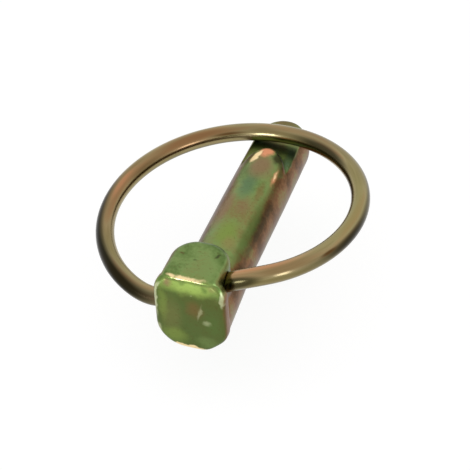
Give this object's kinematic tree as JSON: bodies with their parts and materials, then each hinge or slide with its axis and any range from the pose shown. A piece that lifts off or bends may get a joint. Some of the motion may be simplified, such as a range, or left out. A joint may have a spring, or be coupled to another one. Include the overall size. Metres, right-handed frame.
{
  "type": "linch pin",
  "caption": "Forged linch pin with a square-shouldered head, a flat near its bullet tip, and a sprung wire ring that swings over to lock it.",
  "frame": {"origin": "on the shank's axis, where the head's tapered neck ends and the full-size round shank begins", "axes": "+Y along the shank towards the tip, +Z towards the side that the ring closes on, +X to the right seen from the head"},
  "size_m": [0.0438, 0.0493, 0.0147],
  "materials": {
    "pin_plating": "forged steel, zinc plated and yellow chromated, satin with green and brown sheen",
    "ring_plating": "spring steel wire, zinc plated and yellow chromated, smooth and glossy"
  },
  "bodies": {
    "pin": {"pin": "pin_plating"},
    "ring": {"ring": "ring_plating"}
  },
  "joints": [
    {"name": "ring_swing", "type": "hinge", "parent": "pin", "child": "ring", "pos_m": [0, -0.00925, 0.0037], "axis": [0.8829, 0, 0.4695], "range_deg": [0, 180]}
  ]
}
